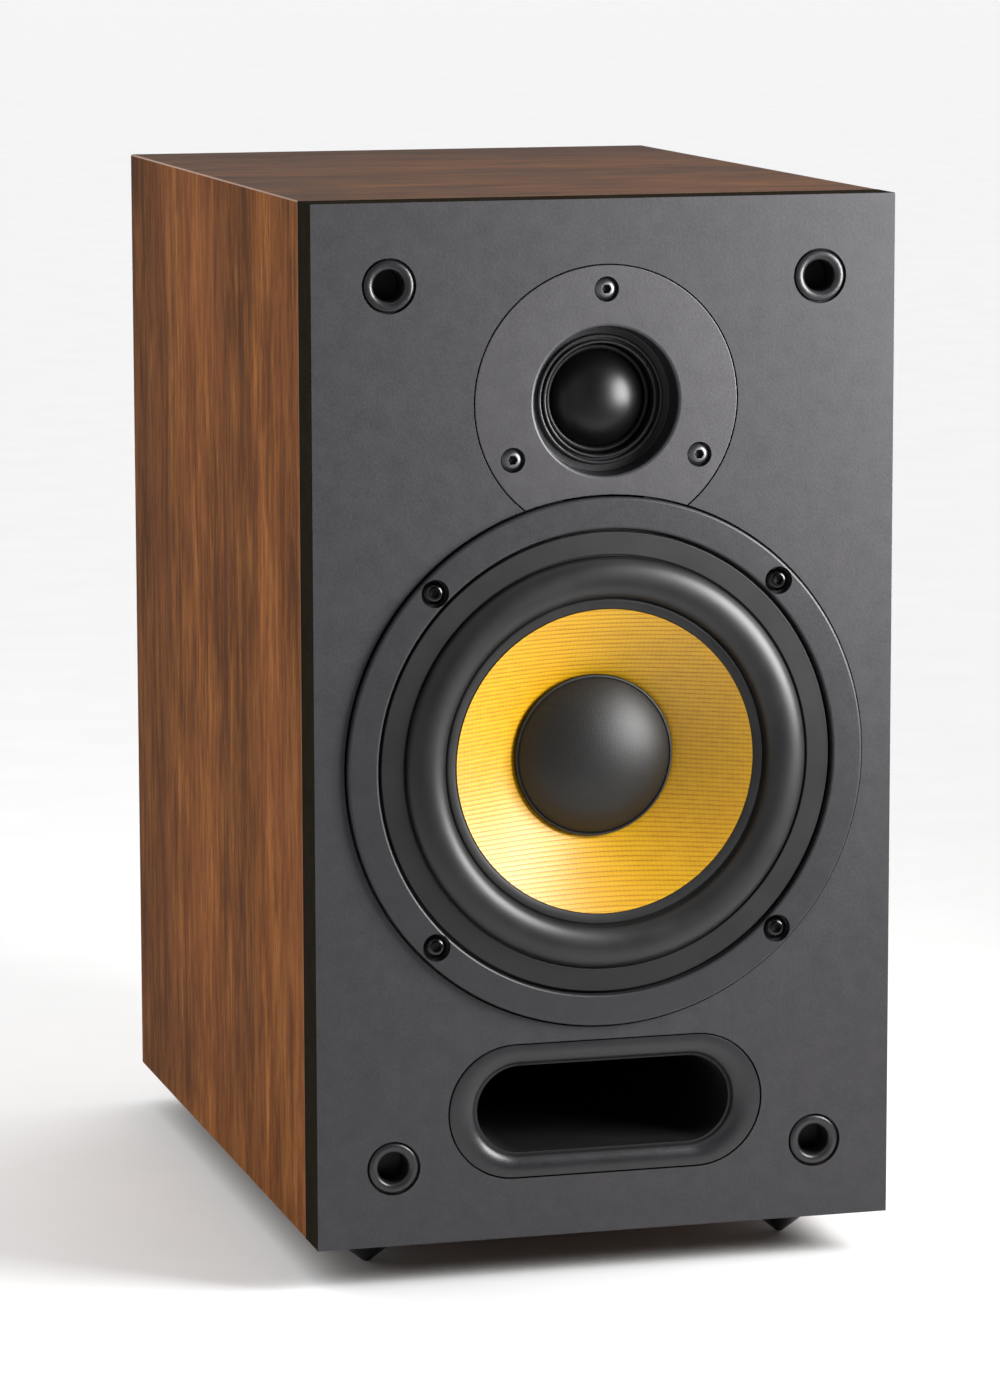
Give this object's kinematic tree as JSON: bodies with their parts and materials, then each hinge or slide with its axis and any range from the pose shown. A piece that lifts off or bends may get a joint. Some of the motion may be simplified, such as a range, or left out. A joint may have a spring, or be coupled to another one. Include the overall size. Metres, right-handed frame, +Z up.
{
  "type": "bookshelf speaker",
  "caption": "Two-way bookshelf loudspeaker in a walnut cabinet: woven-cone woofer, dome tweeter, slot port, binding posts and levelling spikes.",
  "frame": {"origin": "on the floor under the middle of the object's box", "axes": "+Z up, the baffle with the drivers faces -Y, +X to the right seen from the front"},
  "size_m": [0.178, 0.268, 0.323],
  "materials": {
    "walnut_veneer": "satin vinyl veneer with a long open grain",
    "baffle_vinyl": "satin, fine leather-like grain",
    "raw_board": "matte fibreboard",
    "open_cell_foam": "matte open-cell foam",
    "ring_plastic": "satin moulded, dark grey",
    "gasket_black": "satin",
    "black_plastic": "satin moulded",
    "surround_rubber": "soft gloss",
    "woven_cone": "woven yellow fibre, clear resin",
    "cap_cloth": "matte doped cloth",
    "dome_silk": "doped silk, soft sheen",
    "spider_cloth": "matte resin-dipped cloth",
    "cast_frame": "black powder coat",
    "plated_steel": "zinc plated",
    "ferrite": "matte pressed ferrite",
    "black_steel": "black zinc",
    "copper_wire": "lacquered copper",
    "gold_plate": "polished plate",
    "red_plastic": "semi gloss",
    "knob_black": "semi gloss",
    "circuit_board": "satin solder mask",
    "cement": "matte",
    "film_wrap": "gloss tape wrap",
    "lead_sheath": "satin"
  },
  "bodies": {
    "housing": {"front_baffle": "baffle_vinyl", "left_side_panel": "walnut_veneer", "right_side_panel": "walnut_veneer", "top_panel": "walnut_veneer", "bottom_panel": "walnut_veneer", "rear_panel": "walnut_veneer", "cross_brace": "raw_board", "acoustic_foam": "open_cell_foam", "woofer_trim_ring": "ring_plastic", "woofer_gasket": "gasket_black", "woofer_basket": "cast_frame", "woofer_surround": "surround_rubber", "woofer_spider": "spider_cloth", "woofer_top_plate": "plated_steel", "woofer_magnet": "ferrite", "woofer_back_plate": "plated_steel", "woofer_screw_1": "black_steel", "woofer_screw_2": "black_steel", "woofer_screw_3": "black_steel", "woofer_screw_4": "black_steel", "tweeter_faceplate": "ring_plastic", "tweeter_surround": "dome_silk", "tweeter_top_plate": "plated_steel", "tweeter_magnet": "ferrite", "tweeter_back_plate": "plated_steel", "tweeter_screw_1": "black_steel", "tweeter_screw_2": "black_steel", "tweeter_screw_3": "black_steel", "port_flange": "ring_plastic", "port_duct": "black_plastic", "grille_socket_upper_left": "ring_plastic", "grille_socket_upper_right": "ring_plastic", "grille_socket_lower_left": "ring_plastic", "grille_socket_lower_right": "ring_plastic", "terminal_cup": "black_plastic", "terminal_stud_red": "gold_plate", "terminal_stud_black": "gold_plate", "terminal_screw_1": "black_steel", "terminal_screw_2": "black_steel", "terminal_screw_3": "black_steel", "terminal_screw_4": "black_steel", "crossover_board": "circuit_board", "crossover_inductor": "copper_wire", "crossover_capacitor": "film_wrap", "crossover_resistor": "cement", "woofer_lead": "lead_sheath", "tweeter_lead": "lead_sheath"},
    "woofer_diaphragm": {"woofer_cone": "woven_cone", "woofer_dust_cap": "cap_cloth", "woofer_voice_coil": "copper_wire"},
    "tweeter_diaphragm": {"tweeter_dome": "dome_silk", "tweeter_voice_coil": "copper_wire"},
    "clamp_red": {"terminal_washer_red": "gold_plate"},
    "knob_red": {"terminal_knob_red": "red_plastic"},
    "clamp_black": {"terminal_washer_black": "gold_plate"},
    "knob_black": {"terminal_knob_black": "knob_black"},
    "spike_front_left": {"spike_front_left": "black_steel"},
    "spike_front_right": {"spike_front_right": "black_steel"},
    "spike_rear_left": {"spike_rear_left": "black_steel"},
    "spike_rear_right": {"spike_rear_right": "black_steel"}
  },
  "joints": [
    {"name": "woofer_travel", "type": "slide", "parent": "housing", "child": "woofer_diaphragm", "axis": [0, 1, 0], "range_m": [-0.004, 0.004], "stiffness_N_per_m": 1000, "deforming": ["woofer_surround", "woofer_spider"]},
    {"name": "tweeter_travel", "type": "slide", "parent": "housing", "child": "tweeter_diaphragm", "axis": [0, 1, 0], "range_m": [-0.0004, 0.0004], "stiffness_N_per_m": 2000, "deforming": ["tweeter_surround"]},
    {"name": "clamp_red_slide", "type": "slide", "parent": "housing", "child": "clamp_red", "axis": [0, 1, 0], "range_m": [0, 0.005]},
    {"name": "knob_red_turn", "type": "hinge", "parent": "clamp_red", "child": "knob_red", "pos_m": [0.00953, 0.122, 0.103], "axis": [0, 1, 0], "range_deg": [0, 1800]},
    {"name": "clamp_black_slide", "type": "slide", "parent": "housing", "child": "clamp_black", "axis": [0, 1, 0], "range_m": [0, 0.005]},
    {"name": "knob_black_turn", "type": "hinge", "parent": "clamp_black", "child": "knob_black", "pos_m": [-0.00953, 0.122, 0.103], "axis": [0, 1, 0], "range_deg": [0, 1800]},
    {"name": "spike_front_left_height", "type": "slide", "parent": "housing", "child": "spike_front_left", "axis": [0, 0, -1], "range_m": [0, 0.006]},
    {"name": "spike_front_right_height", "type": "slide", "parent": "housing", "child": "spike_front_right", "axis": [0, 0, -1], "range_m": [0, 0.006]},
    {"name": "spike_rear_left_height", "type": "slide", "parent": "housing", "child": "spike_rear_left", "axis": [0, 0, -1], "range_m": [0, 0.006]},
    {"name": "spike_rear_right_height", "type": "slide", "parent": "housing", "child": "spike_rear_right", "axis": [0, 0, -1], "range_m": [0, 0.006]}
  ],
  "couplings": [
    {"joint": "knob_red_turn", "follows": "clamp_red_slide", "rad_per_m": 6283.2},
    {"joint": "knob_black_turn", "follows": "clamp_black_slide", "rad_per_m": 6283.2}
  ]
}
